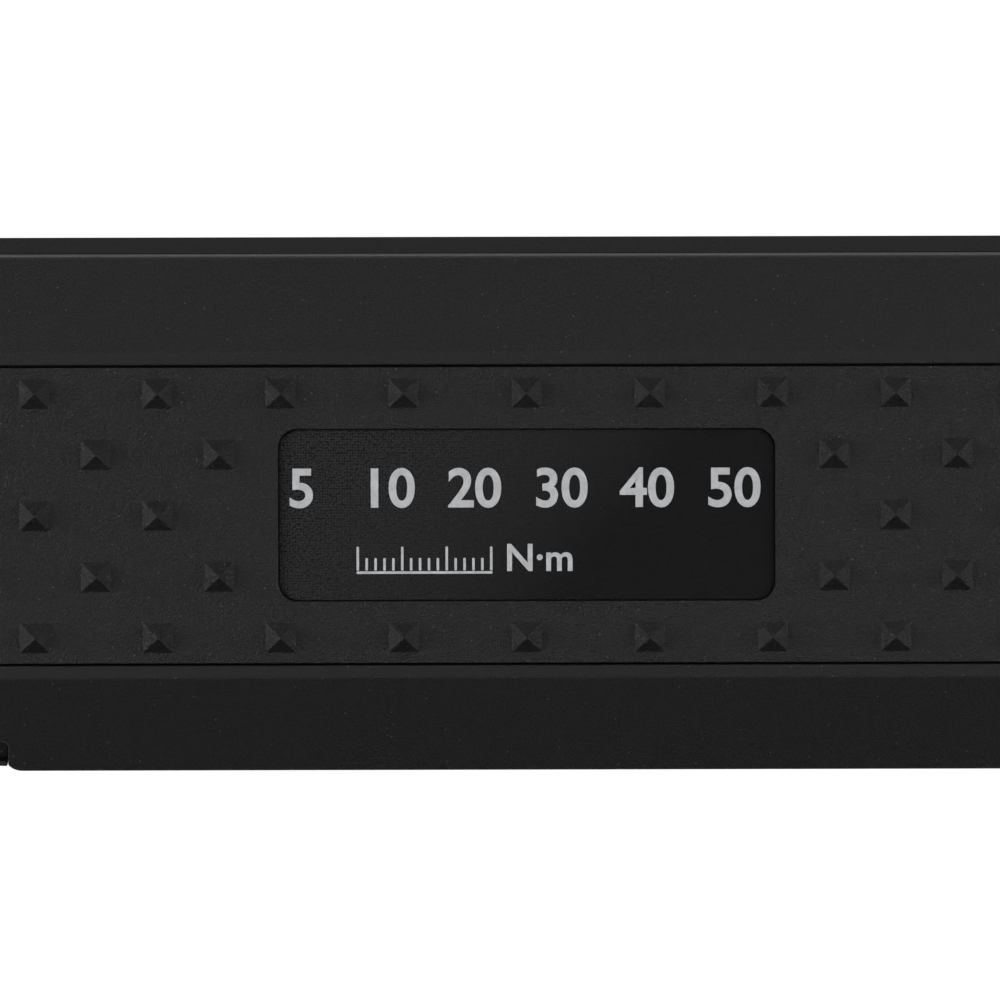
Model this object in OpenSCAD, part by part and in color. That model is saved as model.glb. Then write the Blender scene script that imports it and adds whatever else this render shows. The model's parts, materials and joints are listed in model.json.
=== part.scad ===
// Digital torque wrench with a 3/8 in square drive, built as an assembly of separate pieces.
// Millimetres. The origin is on the drive axis at the shoulder where a socket seats.
// +X runs along the handle, +Z is the side with the display, -Z is the way a socket comes off.

/* [Housing] */
// Width across the front shell's widest edges
body_w = 40.7; // [40:0.1:42]
// Width of the flat strip along the display side
flat_w = 25.7; // [25.5:0.1:27]
// Height of the sloped edge beside that strip
slope_h = 2.4; // [1.8:0.2:3]
// Where the housing starts, ahead of the drive axis
nose_x = 46; // [45:1:47]
// Where the shells end and the end cap starts
tail_x = 272; // [271:1:274]

/* [Grip] */
// Middle of the label, along the handle
label_x = 208; // [206:1:210]
// Length of the studded grip pad
pad_len = 120; // [110:2:122]
// Width of the studded grip pad
pad_w = 23.36; // [23:0.02:23.5]
// Distance between studs in one row
stud_pitch = 9.68; // [9:0.02:10.4]
// Distance between rows of studs
stud_row_pitch = 4.82; // [4.7:0.02:4.9]
// Width of a stud's base
stud_w = 2.36; // [2:0.02:2.8]
// Height of a stud
stud_h = 0.95; // [0.6:0.05:1.2]
// Size of the label plate
label_size = [38.9, 13.4]; // [10:0.1:42]

/* [Ratchet] */
// Width across the square drive's flats
drive_af = 9.53; // [9.5:0.01:9.58]
// Length of the square drive below the shoulder
drive_len = 11; // [10.6:0.1:12]
// Radius of the ratchet head
head_r = 17; // [16.8:0.1:18]
// Number of ratchet teeth
gear_teeth = 48; // [36:12:60]
// Swing of the direction lever from one stop to the other
lever_swing = 36; // [30:1:38]

/* [Controls] */
// How far a button stands out of the faceplate
button_rise = 0.9; // [0.9:0.05:1.3]

/* [Hidden] */
$fn = 64;
eps = 0.1;                    // overlap that keeps a cut or a union clean
gap = 0.16;                   // visible seam round an inset piece

mid_z = 10;                   // the housing's, beam's and head's middle plane
top_z = 24;                   // flat strip of the display side
bottom_z = -4;                // underside
split_z = 20;                 // lower edge of the front shell
seal_z = 18.6;                // upper edge of the rear shell, with the seal between them
roof_z = 21;                  // inside of the front shell
floor_z = -1.8;               // inside of the rear shell
half_w = body_w / 2;
rear_half_w = half_w - 0.1;   // the rear shell stands back a little, as a shadow line
keel = 4;                     // chamfer along the underside
nose_half_w = 13.5;
nose_run = 22;                // length of the taper from nose to full width
cavity_w = 17.3;              // half width inside the front shell
rear_cavity_w = 17.9;         // half width inside the rear shell
cavity_end = 270;
spigot = 7;                   // length of the reduced tail inside the end cap
inset_z = 22.3;               // floor of the channels for the faceplate and the grip pad

plate_x0 = 61;                // faceplate
plate_x1 = 143;
lcd_x = 91;
lcd_size = [41, 20.6];
window_size = [39, 18.6];
led_x = 66;
led_y = [-7, 0, 7];
light_r = 1.5;

board_z0 = 16.4;
board_z1 = 17.6;

beam_x0 = 47;
beam_x1 = 208;
beam_half_y = 8;
beam_half_z = 6;
tang_half_y = 5;
tang_half_z = 4;
tang_x1 = 68;
beam_pin_x = [53, 62];
load_x = 199;                 // load pin, where the hand's force enters the beam

selector_x = 25;
pawl_x = 16;
pawl_swing = 5.5;             // each way from the pawl's middle position
gear_tip_r = 10.6;
gear_root_r = 9.8;
cover_z = 16.5;
head_z0 = 1;
head_z1 = 19;
ball_r = 1.5;
ball_y = 3.93;
ball_z = -5.5;
cover_screw_at = [for (a = [180, 66, -66]) [12.95 * cos(a), 12.95 * sin(a)]];

screw_at = [for (x = [62, 144.5, 266.6], s = [-1, 1]) [x, s * (x < 100 ? 12.2 : 12.6)]];
board_post_at = [for (x = [70, 134], s = [-1, 1]) [x, s * 13]];

notch_x1 = label_x - 40.9;    // notch in the front shell over the port flap
notch_w = 14.1;
notch_depth = 2.35;
notch_x = notch_x1 - notch_w / 2;
port_z = 10.8;
flap_axis_y = -half_w + 1.35;
flap_axis_z = 6.95;
pocket_z = 5.8;

door_axis = [208.6, -2.9];    // x and z of the battery door's pin
door_x0 = 211.2;
door_x1 = 262.4;
door_half_w = 12.05;
cell_y = 5.9;
cell_z = 4.2;
cell_r = 5.2;

cap_x1 = 304;
tongue_z0 = 3;
tongue_z1 = 17;
lanyard_x = 296;
eyelet_r = 2.5;

// Each button: name, x, y, length, width
BUTTONS = [
    ["up_button", 121, 7.2, 6.4, 5.4],
    ["unit_button", 121, 0, 6.4, 5.4],
    ["down_button", 121, -7.2, 6.4, 5.4],
    ["mode_button", 132.5, 4.7, 9, 6.4],
    ["power_button", 132.5, -4.7, 9, 6.4],
];

// ---- Helpers ----

function arc(cx, cy, r, a0, a1, n = 8) =
    [for (i = [0:n]) let (a = a0 + (a1 - a0) * i / n) [cx + r * cos(a), cy + r * sin(a)]];

function mirrored_y(points) = [for (i = [len(points) - 1:-1:0]) [points[i][0], -points[i][1]]];

module block(x0, x1, y0, y1, z0, z1) {
    translate([x0, y0, z0]) cube([x1 - x0, y1 - y0, z1 - z0]);
}

// Extrudes a plan shape from z0 to z1
module rise(z0, z1) {
    translate([0, 0, z0]) linear_extrude(z1 - z0) children();
}

// Extrudes a (y, z) section from x0 to x1
module along_x(x0, x1) {
    translate([x0, 0, 0]) rotate([90, 0, 90]) linear_extrude(x1 - x0) children();
}

// Extrudes an (x, z) profile from y0 to y1
module along_y(y0, y1) {
    translate([0, y1, 0]) rotate([90, 0, 0]) linear_extrude(y1 - y0) children();
}

module rod(x, y, r, z0, z1) {
    translate([x, y, z0]) cylinder(r = r, h = z1 - z0);
}

module ring(x, y, r_out, r_in, z0, z1) {
    difference() {
        rod(x, y, r_out, z0, z1);
        rod(x, y, r_in, z0 - eps, z1 + eps);
    }
}

module round_rect(w, h, r) {
    square([w, h - 2 * r], center = true);
    square([w - 2 * r, h], center = true);
    for (x = [-1, 1], y = [-1, 1])
        translate([x * (w / 2 - r), y * (h / 2 - r)]) circle(r);
}

// Plan of a pear: a circle at the drive axis and a smaller one at the selector, joined by tangents
module pear(r1, r2, d) {
    s = (r1 - r2) / d;
    c = sqrt(1 - s * s);
    circle(r1);
    translate([d, 0]) circle(r2);
    polygon([[r1 * s, -r1 * c], [d + r2 * s, -r2 * c], [d + r2 * s, r2 * c], [r1 * s, r1 * c]]);
}

// A disc with rounded rims, coarse enough to go inside a hull
module puck(x, r, z0, z1, round_r) {
    translate([x, 0, 0]) rotate_extrude($fn = 72)
        polygon(concat([[0, z0]], arc(r - round_r, z0 + round_r, round_r, -90, 0, 4),
                       arc(r - round_r, z1 - round_r, round_r, 0, 90, 4), [[0, z1]]));
}

// A helical spring that stands on z = 0, made of rings of points along its wire
module coil_spring(mean_r, wire_r, height, turns, per_turn = 10, sides = 6) {
    n = turns * per_turn;
    rings = [for (i = [0:n]) let (a = 360 * i / per_turn, z = wire_r + (height - 2 * wire_r) * i / n)
        for (j = [0:sides - 1]) let (b = 360 * j / sides, r = mean_r + wire_r * cos(b))
            [r * cos(a), r * sin(a), z + wire_r * sin(b)]];
    skin = [for (i = [0:n - 1], j = [0:sides - 1])
        let (k = (j + 1) % sides, p = i * sides, q = p + sides)
            for (f = [[p + j, q + j, p + k], [p + k, q + j, q + k]]) f];
    first = [for (j = [1:sides - 2]) [0, j, j + 1]];
    last = [for (j = [1:sides - 2]) [n * sides, n * sides + j + 1, n * sides + j]];
    polyhedron(points = rings, faces = concat(skin, first, last));
}

// ---- Ratchet head ----

// Plan of the ratchet gear, with its teeth grown by grow to leave room round them
module gear_plan(grow = 0) {
    step = 360 / gear_teeth;
    tip = 0.13 * step + 0.6 * grow / gear_tip_r * 180 / PI;
    root = min(0.36 * step + grow / gear_root_r * 180 / PI, 0.48 * step);
    points = [for (i = [0:gear_teeth - 1], k = [-1, 1], f = [0, 1])
        let (outer = (k < 0) == (f == 1), a = i * step + k * (outer ? tip : root),
             r = (outer ? gear_tip_r : gear_root_r) + grow)
            [r * cos(a), r * sin(a)]];
    polygon(points);
}

module ratchet_head() {
    color("silver") difference() {
        union() {
            hull() {
                puck(0, head_r, head_z0, head_z1, 1.5);
                puck(selector_x, 9.8, head_z0, head_z1, 1.5);
            }
            hull() {
                puck(selector_x, 9.6, head_z0 + 1.2, head_z1 - 1.2, 2);
                translate([0, 0, mid_z]) along_x(39, 40) round_rect(14, 12, 3);
            }
            translate([0, 0, mid_z]) along_x(39, beam_x0) round_rect(14, 12, 3);
            block(beam_x0 - eps, tang_x1, -tang_half_y, tang_half_y, mid_z - tang_half_z, mid_z + tang_half_z);
        }
        rod(0, 0, 11.2, 5, cover_z + eps);
        rod(0, 0, 8.55, 0, 5 + eps);
        rod(0, 0, 9.8, 1.8, 3.4);
        rise(cover_z, head_z1 + eps) pear(14.9, 7.5, selector_x);
        rise(5, cover_z + eps)
            polygon([[6, -9.6], [15.5, -9.6], [20.2, -4.2], [20.2, 4.2], [15.5, 9.6], [6, 9.6]]);
        rod(selector_x, 0, 4.05, 4, head_z1);
        block(18, selector_x, -3.4, 3.4, 8.4, 11.6);
        rod(pawl_x, 0, 1.5, 3, 6);
        for (p = cover_screw_at) rod(p[0], p[1], 1.1, 10, cover_z + eps);
        for (x = beam_pin_x) rod(x, 0, 2, 0, 20);
    }
}

module drive_gear() {
    color("gainsboro") difference() {
        union() {
            rise(5.1, 13.5) gear_plan();
            rod(0, 0, 9.6, 13.5, 16.4);
            rod(0, 0, 7.5, 16.4, 18.6);
            rod(0, 0, 8.5, 0, 5.1);
            intersection() {
                block(-drive_af / 2, drive_af / 2, -drive_af / 2, drive_af / 2, -drive_len, 0.5);
                rotate_extrude()
                    polygon([[0, -drive_len], [5.5, -drive_len], [6.3, 1 - drive_len], [6.3, 0.5], [0, 0.5]]);
            }
        }
        rod(0, 0, 3.6, 5, 19);
        rod(0, 0, 2.4, 1 - drive_len, 5.1);
        translate([0, 0, ball_z]) rotate([-90, 0, 0]) rod(0, 0, ball_r + 0.05, 1.5, 6);
    }
}

// The pawl's outline in its middle position, before its teeth are cut
module pawl_blank() {
    upper = [[12.2, 2.2], [9.27, 3.75], [7.66, 6.43], [7.9, 7.6], [10.1, 8.6], [13, 7.6],
             [17.5, 5], [19.6, 3.2]];
    difference() {
        polygon(concat(upper, mirrored_y(upper)));
        translate([selector_x, 0]) circle(6.1);
    }
}

module turned_about(x, angle) {
    translate([x, 0, 0]) rotate([0, 0, angle]) translate([-x, 0, 0]) children();
}

module pawl() {
    color("dimgray") turned_about(pawl_x, -pawl_swing) difference() {
        rise(5.3, 13.3) pawl_blank();
        for (s = [-1, 1]) turned_about(pawl_x, s * pawl_swing) rise(5, 13.6) gear_plan(0.3);
        rod(pawl_x, 0, 1.56, 5, 14);
    }
}

module pawl_pin() {
    color("silver") rod(pawl_x, 0, 1.5, 3, 16.4);
}

// Puts a child made about the selector's axis, pointing along +X, at the lever's rest stop
module at_selector() {
    translate([selector_x, 0, 0]) rotate([0, 0, lever_swing / 2]) children();
}

module selector_lever() {
    color("silver") at_selector() difference() {
        union() {
            rod(0, 0, 4, 4.2, 19.3);
            rod(0, 0, 7.2, 19.2, 21.4);
            rise(19.2, 21.4) polygon([[0, -6], [14, -3], [14, 3], [0, 6]]);
            rod(14, 0, 3, 19.2, 21.4);
            rise(21.4 - eps, 23.4) translate([13, 0]) round_rect(6, 4.6, 1.2);
        }
        translate([0, 0, mid_z]) rotate([0, -90, 0]) rod(0, 0, 1.3, -3, 5);
    }
}

module selector_plunger() {
    color("silver") at_selector() translate([0, 0, mid_z]) rotate([0, -90, 0]) {
        rod(0, 0, 1.22, 2.1, 4.7);
        translate([0, 0, 4.7]) sphere(1.22);
    }
}

module plunger_spring() {
    color("lightgray") at_selector() translate([0, 0, mid_z]) rotate([0, -90, 0])
        translate([0, 0, -2.9]) coil_spring(0.85, 0.2, 4.9, 6);
}

module head_cover() {
    color("gainsboro") difference() {
        rise(cover_z, 18.95) pear(14.8, 7.4, selector_x);
        rod(0, 0, 7.55, cover_z - eps, 19);
        rod(selector_x, 0, 4.06, cover_z - eps, 19);
        for (p = cover_screw_at) {
            rod(p[0], p[1], 1.25, cover_z - eps, 19);
            rod(p[0], p[1], 1.95, 17.6, 19);
        }
    }
}

module cover_screws() {
    color("dimgray") for (p = cover_screw_at) difference() {
        union() {
            rod(p[0], p[1], 1.05, 10.5, 17.7);
            rod(p[0], p[1], 1.8, 17.62, 18.9);
        }
        translate([p[0], p[1], 18.1]) cylinder(r = 0.95, h = 1, $fn = 6);
    }
}

module release_button() {
    color("silver") rotate_extrude()
        polygon(concat([[0, -7.2], [2.35, -7.2], [2.35, ball_z], [1.65, ball_z + 2.5], [1.65, 12.5], [3.5, 12.5]],
                       arc(2.6, 20.4, 0.9, 0, 90, 6), [[0, 21.3]]));
}

module release_spring() {
    color("lightgray") translate([0, 0, 5.1]) coil_spring(2.7, 0.35, 7.3, 6);
}

module lock_ball() {
    color("silver") translate([0, ball_y, ball_z]) sphere(ball_r);
}

module drive_seal() {
    color("black") ring(0, 0, 9.75, 8.6, 1.9, 3.3);
}

// ---- Torque beam ----

module torque_beam() {
    z0 = mid_z - beam_half_z;
    z1 = mid_z + beam_half_z;
    color("slategray") difference() {
        block(beam_x0, beam_x1, -beam_half_y, beam_half_y, z0, z1);
        block(beam_x0 - 1, tang_x1 + 0.5, -tang_half_y - 0.05, tang_half_y + 0.05,
              mid_z - tang_half_z - 0.05, mid_z + tang_half_z + 0.05);
        for (s = [-1, 1])
            rise(z0 - eps, z1 + eps) translate([88, s * (beam_half_y + 0.5)]) round_rect(24, 6, 2);
        rise(z0 - eps, z1 + eps) translate([149, 0]) round_rect(74, 7, 3);
        for (x = beam_pin_x) rod(x, 0, 2, z0 - eps, z1 + eps);
        rod(load_x, 0, 4.3, z0 - eps, z1 + eps);
        rod(load_x, 0, 5.5, z0 - eps, z0 + 3);
        rod(load_x, 0, 5.5, z1 - 3, z1 + eps);
    }
}

module beam_pins() {
    color("silver") for (x = beam_pin_x) rod(x, 0, 1.98, mid_z - 5.8, mid_z + 5.8);
}

module load_pin() {
    color("silver") rod(load_x, 0, 4, floor_z + 0.1, roof_z - 0.1);
}

module load_bushes() {
    color("goldenrod") for (z = [mid_z - beam_half_z, mid_z + beam_half_z - 3])
        ring(load_x, 0, 5.48, 4.04, z, z + 3);
}

module strain_gauges() {
    color("peru") for (x = [82.5, 90.5], s = [-1, 1])
        block(x - 3, x + 3, min(s * 5.52, s * 5.7), max(s * 5.52, s * 5.7), 7.5, 12.5);
}

module gauge_leads() {
    color("darkorange") for (s = [-1, 1])
        block(84, 89, min(s * 5.74, s * 5.9), max(s * 5.74, s * 5.9), 9, board_z0 - 0.02);
}

module nose_seal() {
    color("black") translate([0, 0, mid_z]) difference() {
        union() {
            along_x(nose_x - 0.1, nose_x + 2.8) round_rect(19.9, 14.9, 4);
            along_x(nose_x - 2.2, nose_x - 0.05) round_rect(23, 17.6, 5);
        }
        along_x(nose_x - 3, beam_x0) round_rect(14.1, 12.1, 3);
        along_x(beam_x0 - eps, nose_x + 3) square([16.2, 12.2], center = true);
    }
}

// ---- Housing ----

function plan_points(hw, x1) =
    let (lean = atan((hw - nose_half_w) / (nose_run - 3)),
         side = concat(arc(nose_x + 3, nose_half_w - 3, 3, 180, 90 + lean, 5),
                       [[nose_x + nose_run, hw], [x1, hw]]))
    concat(side, mirrored_y(side));

module side_profile(x1) {
    polygon([[nose_x, 0.5], [nose_x + 7, bottom_z], [x1, bottom_z], [x1, top_z],
             [nose_x + 10, top_z], [nose_x, 19.6]]);
}

module front_section() {
    polygon([[-half_w, split_z], [half_w, split_z], [half_w, top_z - slope_h], [flat_w / 2, top_z],
             [-flat_w / 2, top_z], [-half_w, top_z - slope_h]]);
}

module rear_section() {
    polygon([[-rear_half_w, seal_z], [-rear_half_w, bottom_z + keel], [keel - rear_half_w, bottom_z],
             [rear_half_w - keel, bottom_z], [rear_half_w, bottom_z + keel], [rear_half_w, seal_z]]);
}

// The outer form of one shell, from its section
module shell_form(hw) {
    intersection() {
        along_x(nose_x - 1, tail_x) children();
        rise(bottom_z - 1, top_z + 1) polygon(plan_points(hw, tail_x + 1));
        along_y(-hw - 1, hw + 1) side_profile(tail_x + 1);
    }
}

// Plan of the notch over the port flap: square inside, with a rounded lip where it meets the side
module notch_plan(hw) {
    lip_r = 1.5;
    lip_x = 1.1;
    translate([notch_x, -hw]) round_rect(notch_w, 2 * notch_depth, 0.45);
    for (s = [-1, 1]) translate([notch_x + s * notch_w / 2, -hw]) difference() {
        translate([s > 0 ? -eps : -lip_x, -1]) square([lip_x + eps, 1.5]);
        translate([s * lip_x, lip_r]) circle(lip_r);
    }
}

module front_shell() {
    color("#232325") difference() {
        union() {
            difference() {
                shell_form(half_w) front_section();
                rise(split_z - 1, roof_z)
                    polygon(concat([[50, 10.5], [68, cavity_w], [cavity_end, cavity_w]],
                                   mirrored_y([[50, 10.5], [68, cavity_w], [cavity_end, cavity_w]])));
            }
            for (p = screw_at) rod(p[0], p[1], 3, 12.1, roof_z + 0.5);
            rod(load_x, 0, 7, mid_z + beam_half_z + 0.4, roof_z + 0.5);
            for (s = [-1, 1], span = [[76, 146], [174, 260]])
                block(span[0], span[1], s * 17.2 - 0.5, s * 17.2 + 0.5, seal_z - 2, split_z + 0.5);
            block(tail_x - 2, tail_x + spigot, -16, 16, split_z, top_z - 2);
        }
        for (p = screw_at) rod(p[0], p[1], 1.45, 12, 19.5);
        rod(load_x, 0, 4.02, 15, roof_z - 0.08);
        rise(inset_z, top_z + 1) {
            translate([(plate_x0 + plate_x1) / 2, 0])
                round_rect(plate_x1 - plate_x0 + 2 * gap, pad_w + 2 * gap, 3);
            translate([label_x, 0]) round_rect(pad_len + 2 * gap, pad_w + 2 * gap, 3);
        }
        block(lcd_x - 21.2, lcd_x + 21.2, -10.8, 10.8, roof_z - 1, inset_z + eps);
        rise(roof_z - 1, inset_z + eps)
            for (b = BUTTONS) translate([b[1], b[2]]) round_rect(b[3] + 0.4, b[4] + 0.4, 1.5);
        for (y = led_y) rod(led_x, y, light_r + 0.05, roof_z - 1, inset_z + eps);
        rise(split_z - 1.5, top_z + 1) notch_plan(half_w);
    }
}

module rear_cavity() {
    plan = [[48.8, 11], [68, rear_cavity_w], [cavity_end, rear_cavity_w]];
    intersection() {
        rise(floor_z, split_z + 1) polygon(concat(plan, mirrored_y(plan)));
        along_y(-20, 20) polygon([[48, 3.2], [57, floor_z], [cavity_end, floor_z],
                                  [cavity_end, split_z + 1], [48, split_z + 1]]);
    }
}

module rear_shell() {
    color("#202022") difference() {
        union() {
            difference() {
                shell_form(rear_half_w) rear_section();
                rear_cavity();
            }
            for (p = screw_at) {
                rod(p[0], p[1], 3, floor_z - 0.5, 12);
                rod(p[0], p[1], 4, floor_z - 0.5, 0.2);
            }
            for (p = board_post_at) rod(p[0], p[1], 2.4, floor_z - 0.5, board_z0);
            rod(load_x, 0, 7, floor_z - 0.5, mid_z - beam_half_z - 0.4);
            for (x = [107, 177]) block(x - 1.2, x + 1.2, -18, 18, floor_z - 0.5, 3.7);
            block(notch_x - 9, notch_x + 9, -18.5, -15.4, 4.5, seal_z);
            block(notch_x - 8, notch_x + 8, -17.7, -15.4, seal_z - 1, split_z - 0.05);
            for (s = [-1, 1]) rod(notch_x + s * 3.8, -12.5, 1.6, floor_z - 0.5, port_z - 2.44);
            block(tail_x - 2, tail_x + spigot, -17.8, 17.8, bottom_z + 2.2, seal_z);
        }
        translate([0, 0, mid_z]) along_x(nose_x - 1, nose_x + 4) round_rect(20, 15, 4);
        for (p = screw_at) {
            rod(p[0], p[1], 1.6, bottom_z - 1, 13);
            rod(p[0], p[1], 3, bottom_z - 1, -0.9);
        }
        for (p = board_post_at) rod(p[0], p[1], 0.95, 9, board_z0 + eps);
        rod(load_x, 0, 4.02, floor_z, 5);
        rise(pocket_z, split_z + 1) notch_plan(rear_half_w);
        block(notch_x - 4.7, notch_x + 4.7, -18, -15, port_z - 1.8, port_z + 1.8);
        at_flap_hinge() rod(0, 0, 0.56, notch_x - notch_w / 2 - 1.1, notch_x + notch_w / 2 + 1.1);
        block(door_x0 - 0.45, door_x1 + 0.3, -door_half_w - 0.25, door_half_w + 0.25, bottom_z - 1, floor_z + eps);
        block(206.8, door_x0, -5, 5, bottom_z - 1, floor_z + eps);
        translate([door_axis[0], 0, door_axis[1]]) rotate([-90, 0, 0]) rod(0, 0, 0.62, -9.5, 9.5);
        block(door_x1, 265, -4.3, 4.3, bottom_z - 1, -2);
        rise(bottom_z - 1, bottom_z + 0.9) translate([175, 0]) round_rect(50, 22, 3);
    }
}

module shell_seal() {
    plan = [[48.8, 11], [68, rear_cavity_w], [cavity_end, rear_cavity_w]];
    color("black") difference() {
        shell_form(half_w - 0.05)
            polygon([[-half_w, seal_z], [half_w, seal_z], [half_w, split_z], [-half_w, split_z]]);
        rise(seal_z - 1, split_z + 1) {
            polygon(concat(plan, mirrored_y(plan)));
            notch_plan(half_w - 0.15);
            for (p = screw_at) translate(p) circle(3.1);
        }
    }
}

module housing_screws() {
    color("dimgray") for (p = screw_at) difference() {
        union() {
            rod(p[0], p[1], 1.4, -1, 19);
            rod(p[0], p[1], 2.8, -3.3, -0.9);
        }
        translate([p[0], p[1], -3.5]) cylinder(r = 1.45, h = 1.4, $fn = 6);
    }
}

module end_cap() {
    plan = concat([[tail_x + 0.1, half_w - 0.05], [284, half_w - 0.05], [293, 13]],
                  arc(cap_x1 - 8, 5, 8, 90, 0, 8));
    color("#1b1b1d") difference() {
        intersection() {
            along_x(tail_x + 0.1, cap_x1 + 1)
                polygon([[-half_w, bottom_z + keel], [keel - half_w, bottom_z], [half_w - keel, bottom_z],
                         [half_w, bottom_z + keel], [half_w, top_z - slope_h], [flat_w / 2, top_z],
                         [-flat_w / 2, top_z], [-half_w, top_z - slope_h]]);
            rise(bottom_z - 1, top_z + 1) polygon(concat(plan, mirrored_y(plan)));
            along_y(-half_w, half_w)
                polygon([[tail_x, bottom_z], [283, bottom_z], [291, tongue_z0], [cap_x1, tongue_z0],
                         [cap_x1, tongue_z1], [291, tongue_z1], [283, top_z], [tail_x, top_z]]);
        }
        block(tail_x - 1, tail_x + spigot + 0.2, -18, 18, bottom_z + 2.1, split_z + 0.05);
        block(tail_x - 1, tail_x + spigot + 0.2, -16.2, 16.2, split_z - eps, top_z - 1.9);
        rod(lanyard_x, 0, eyelet_r + 1, tongue_z0 - 1, tongue_z1 + 1);
        for (x = [274.8, 277.6], s = [-1, 1])
            block(x - 0.5, x + 0.5, s * (half_w - 0.3) - 0.5, s * (half_w - 0.3) + 0.5, 2, 19);
    }
}

module lanyard_eyelet() {
    color("silver") difference() {
        union() {
            rod(lanyard_x, 0, eyelet_r + 0.98, tongue_z0 - 0.5, tongue_z1 + 0.5);
            rod(lanyard_x, 0, eyelet_r + 2.1, tongue_z0 - 0.5, tongue_z0);
            rod(lanyard_x, 0, eyelet_r + 2.1, tongue_z1, tongue_z1 + 0.5);
        }
        rod(lanyard_x, 0, eyelet_r, tongue_z0 - 1, tongue_z1 + 1);
    }
}

// ---- Grip and label ----

// A four-sided pyramid whose base is stud_w wide at z = 0, with a skirt below to bed it in
module stud() {
    skirt = 0.2;
    b = stud_w / 2 * (1 + skirt / stud_h);
    polyhedron(points = [[-b, -b, -skirt], [b, -b, -skirt], [b, b, -skirt], [-b, b, -skirt], [0, 0, stud_h]],
               faces = [[0, 1, 2, 3], [1, 0, 4], [2, 1, 4], [3, 2, 4], [0, 3, 4]]);
}

stud_rows = [for (r = [-2:2]) r];
stud_places = [for (r = stud_rows, k = [-5.5:0.5:5.5])
    let (x = k * stud_pitch, y = r * stud_row_pitch)
        if ((abs(r) % 2 == 1) == (abs(k * 2) % 2 == 1)
            && !(abs(x) < label_size[0] / 2 + 2 && abs(y) < label_size[1] / 2 + 1)
            && abs(x) < pad_len / 2 - 3) [x, y]];

module grip_pad() {
    color("#29292b") translate([label_x, 0, 0]) difference() {
        union() {
            rise(inset_z + 0.05, top_z) round_rect(pad_len, pad_w, 3);
            for (p = stud_places) translate([p[0], p[1], top_z]) stud();
        }
        rise(top_z - 0.75, top_z + 1) round_rect(label_size[0] + 0.2, label_size[1] + 0.2, 1.5);
    }
}

module label_plate() {
    color("#151517") rise(top_z - 0.73, top_z - 0.28)
        translate([label_x, 0]) round_rect(label_size[0], label_size[1], 1.4);
}

module rear_pad() {
    color("#1b1b1d") union() {
        rise(bottom_z + 0.05, bottom_z + 0.88) translate([175, 0]) round_rect(49.8, 21.8, 2.9);
        for (i = [0:8]) rise(bottom_z - 0.8, bottom_z + 0.3)
            translate([175 + (i - 4) * 5.3, 0]) round_rect(3, 18, 1.4);
    }
}

// ---- Display and controls ----

module faceplate() {
    color("#111113") rise(inset_z + 0.05, top_z) difference() {
        translate([(plate_x0 + plate_x1) / 2, 0]) round_rect(plate_x1 - plate_x0, pad_w, 2.9);
        translate([lcd_x, 0]) round_rect(window_size[0], window_size[1], 1.5);
        for (b = BUTTONS) translate([b[1], b[2]]) round_rect(b[3] + 0.3, b[4] + 0.3, 1.45);
        for (y = led_y) translate([led_x, y]) circle(light_r + 0.05);
    }
}

module lens() {
    color("lightcyan", 0.4) rise(22.7, top_z - 0.02)
        translate([lcd_x, 0]) round_rect(window_size[0] - 0.1, window_size[1] - 0.1, 1.45);
}

module lcd_module() {
    color("darkseagreen") block(lcd_x - lcd_size[0] / 2, lcd_x + lcd_size[0] / 2,
                                -lcd_size[1] / 2, lcd_size[1] / 2, 19.5, 22.2);
}

module backlight() {
    color("white") block(lcd_x - 21, lcd_x + 21, -10.5, 10.5, board_z1, 19.5);
}

module main_board() {
    half = [[63, 8.6], [66.2, 8.6], [66.2, 15.5], [140, 15.5]];
    color("darkgreen") difference() {
        rise(board_z0, board_z1) polygon(concat(half, mirrored_y(half)));
        for (p = board_post_at) rod(p[0], p[1], 1.2, board_z0 - 1, board_z1 + 1);
    }
}

module board_chips() {
    color("#1a1a1a") {
        for (x = [78, 86, 94, 102]) block(x - 2.5, x + 2.5, 11.3, 14.3, board_z1, board_z1 + 1);
        for (x = [77, 82, 87, 96, 100, 104]) block(x - 1, x + 1, -13.6, -12.2, board_z1, board_z1 + 0.7);
        block(110, 119, 9, 15, board_z0 - 1.2, board_z0);
        block(122, 128, -15, -9.5, board_z0 - 1.2, board_z0);
    }
}

module board_screws() {
    color("silver") for (p = board_post_at) {
        rod(p[0], p[1], 0.93, 10, board_z1 + 0.1);
        rod(p[0], p[1], 1.9, board_z1, board_z1 + 0.9);
    }
}

module tact_switches() {
    color("gray") for (b = BUTTONS) {
        block(b[1] - 2.5, b[1] + 2.5, b[2] - 2.5, b[2] + 2.5, board_z1, board_z1 + 1.2);
        rod(b[1], b[2], 1, board_z1 + 1.1, board_z1 + 1.6);
    }
}

module led_chips() {
    color("khaki") for (y = led_y)
        block(led_x - 0.8, led_x + 0.8, y - 0.8, y + 0.8, board_z1, board_z1 + 0.8);
}

module light_pipes() {
    color("limegreen") for (y = led_y) {
        rod(led_x, y, light_r, 18.6, top_z + 0.15);
        rod(led_x, y, 2.1, 20.1, 20.9);
    }
}

module buzzer() {
    color("#333333") difference() {
        rod(156, 0, 6.5, 17.9, 20.95);
        rod(156, 0, 0.9, 19.9, 21.2);
    }
}

module push_button(b) {
    translate([b[1], b[2], 0]) {
        rise(20.7, top_z + button_rise) round_rect(b[3], b[4], 1.3);
        rise(20.1, 20.8) round_rect(b[3] + 1.6, b[4] + 1.2, 1.5);
    }
}

module up_button() { color("#3a3a3d") push_button(BUTTONS[0]); }
module unit_button() { color("#3a3a3d") push_button(BUTTONS[1]); }
module down_button() { color("#3a3a3d") push_button(BUTTONS[2]); }
module mode_button() { color("#3a3a3d") push_button(BUTTONS[3]); }
module power_button() { color("#a02020") push_button(BUTTONS[4]); }

// ---- Battery bay ----

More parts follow.
